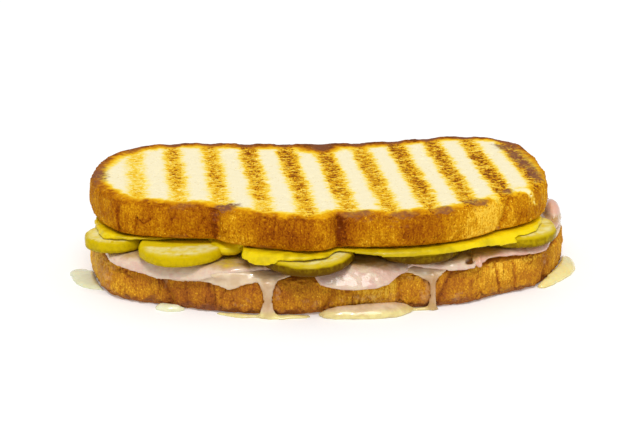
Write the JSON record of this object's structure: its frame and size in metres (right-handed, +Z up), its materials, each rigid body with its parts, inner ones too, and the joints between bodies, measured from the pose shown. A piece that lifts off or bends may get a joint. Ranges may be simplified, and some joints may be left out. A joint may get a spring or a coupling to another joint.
{
  "type": "ham panini",
  "caption": "Grilled sandwich of farmhouse bread, pressed with ridge marks, filled with melted cheese, ham, pickle chips and mustard.",
  "frame": {"origin": "on the board under the middle of the sandwich's bounding box", "axes": "+X along the slices, -Y toward the domed crust with the squeezed-out filling, +Z up through the layers"},
  "size_m": [0.1812, 0.1038, 0.0369],
  "materials": {
    "bread": "matte toasted crumb and crust",
    "cheese": "melted, translucent, glossy",
    "ham": "moist, slightly translucent",
    "pickle": "wet, translucent",
    "mustard": "wet, glossy"
  },
  "bodies": {
    "root": {"bread_bottom": "bread", "cheese_melt": "cheese", "cheese_pool_left": "cheese", "cheese_pool_front": "cheese", "cheese_pool_right": "cheese", "ham_left": "ham", "ham_centre": "ham", "ham_right": "ham", "ham_right_end": "ham", "pickle_1": "pickle", "pickle_2": "pickle", "pickle_3": "pickle", "pickle_4": "pickle", "pickle_5": "pickle", "pickle_6": "pickle", "pickle_7": "pickle", "pickle_8": "pickle", "pickle_9": "pickle", "pickle_10": "pickle", "pickle_11": "pickle", "pickle_12": "pickle", "mustard": "mustard", "bread_top": "bread"}
  },
  "joints": []
}
